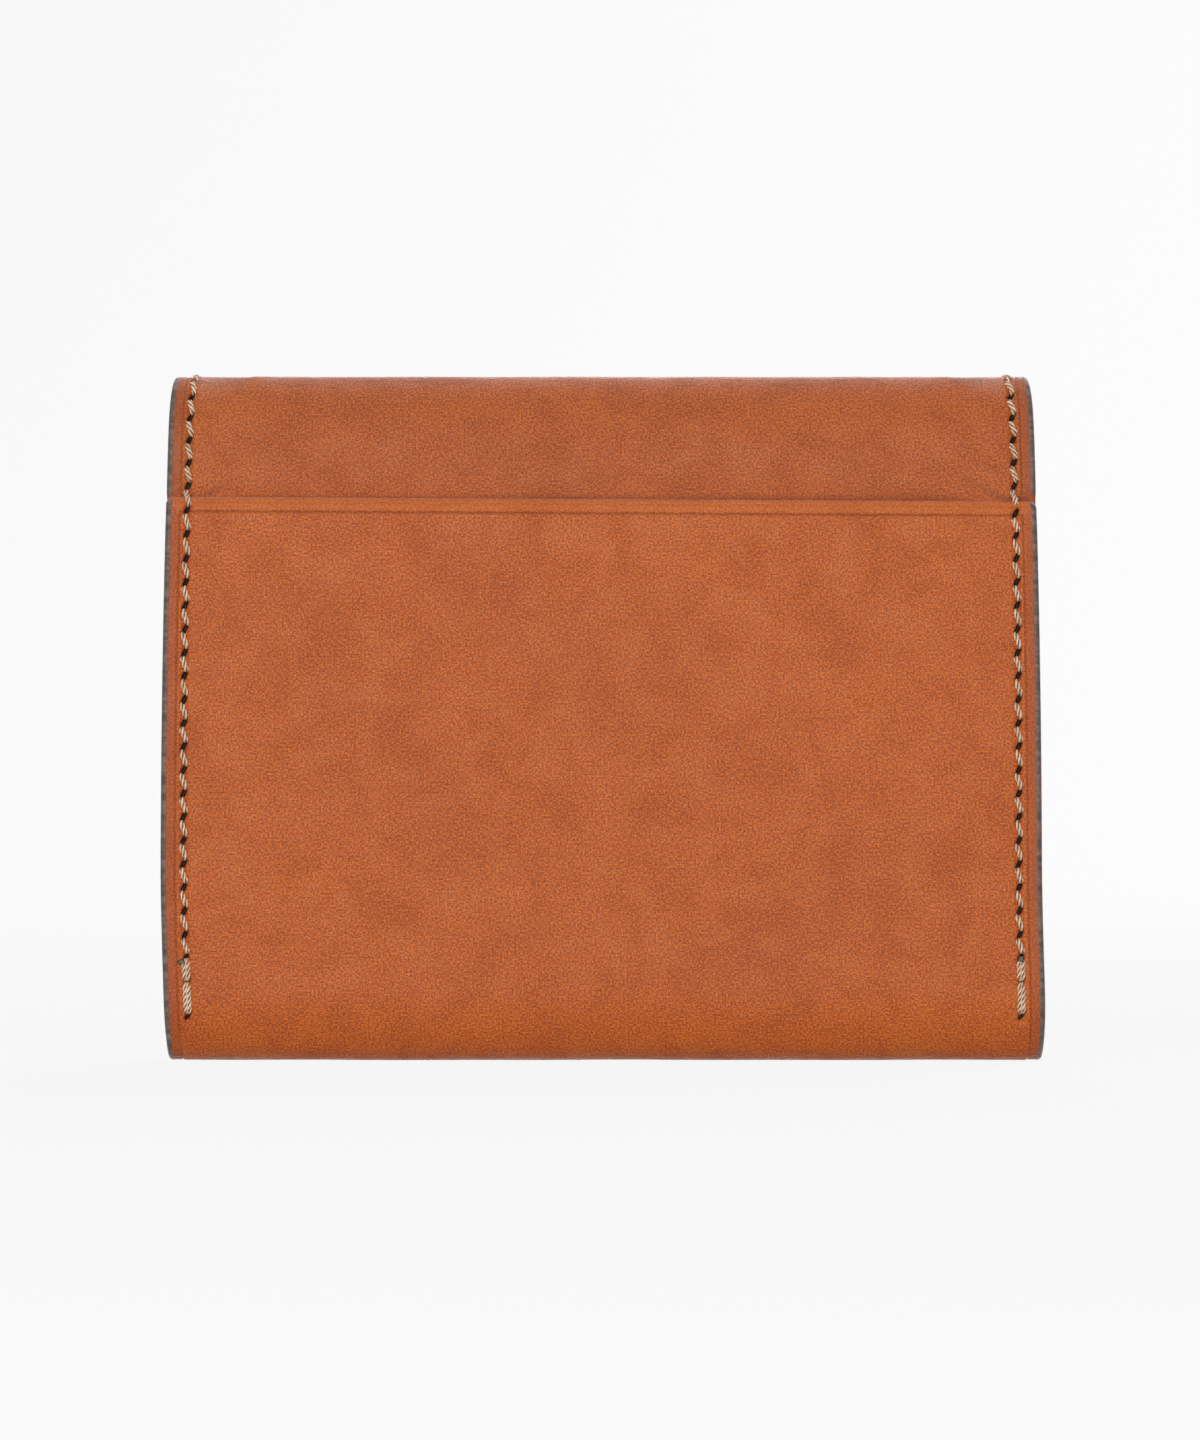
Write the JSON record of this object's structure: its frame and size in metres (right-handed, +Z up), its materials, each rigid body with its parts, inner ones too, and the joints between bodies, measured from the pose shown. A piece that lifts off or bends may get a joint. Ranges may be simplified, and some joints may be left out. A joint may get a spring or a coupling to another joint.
{
  "type": "card holder",
  "caption": "Flap card case in stitched tan leather: a gusseted main pocket, an inner card slot and a slip pocket on the back, closed by a lined flap with a snap.",
  "frame": {"origin": "middle of the base: centre of the bounding box in X and Y, at the lowest point of the bottom fold", "axes": "+X along the width, +Y from the plain back face towards the flap, +Z up from the bottom fold to the top fold"},
  "size_m": [0.11, 0.0178, 0.0855],
  "materials": {
    "tan_leather": "vegetable-tanned tan leather, smooth waxed grain with dark burnished edges",
    "lining_leather": "thin tan lining leather, matt",
    "inner_leather": "thin tan leather, satin",
    "seam_thread": "waxed beige twisted thread",
    "brass_snap": "aged satin brass"
  },
  "bodies": {
    "root": {"shell_back": "tan_leather", "shell_base": "tan_leather", "flap_back_wall": "tan_leather", "lining_back": "lining_leather", "card_slot_panel": "inner_leather", "gusset_left": "inner_leather", "gusset_right": "inner_leather", "thread_back_left": "seam_thread", "thread_back_right": "seam_thread"},
    "spine": {"flap_spine": "tan_leather", "lining_spine": "lining_leather", "thread_spine": "seam_thread"},
    "flap": {"flap_front": "tan_leather", "lining_front": "lining_leather", "thread_flap": "seam_thread", "snap_cap": "brass_snap", "snap_socket": "brass_snap"},
    "front": {"shell_front": "tan_leather", "thread_front_left": "seam_thread", "thread_front_right": "seam_thread", "snap_stud": "brass_snap", "snap_post": "brass_snap"}
  },
  "joints": [
    {"name": "spine_fold", "type": "hinge", "parent": "root", "child": "spine", "pos_m": [0, -0.00613, 0.08453], "axis": [1, 0, 0], "range_deg": [0, 90]},
    {"name": "flap_fold", "type": "hinge", "parent": "spine", "child": "flap", "pos_m": [0, 0.00673, 0.08453], "axis": [1, 0, 0], "range_deg": [0, 90]},
    {"name": "pocket_mouth", "type": "hinge", "parent": "root", "child": "front", "pos_m": [0, 0.0033, 0.00365], "axis": [-1, 0, 0], "range_deg": [0, 8.2], "deforming": ["gusset_left", "gusset_right"]}
  ],
  "couplings": [
    {"joint": "flap_fold", "follows": "spine_fold", "ratio": 1},
    {"joint": "pocket_mouth", "follows": "spine_fold", "ratio": 0.09}
  ]
}
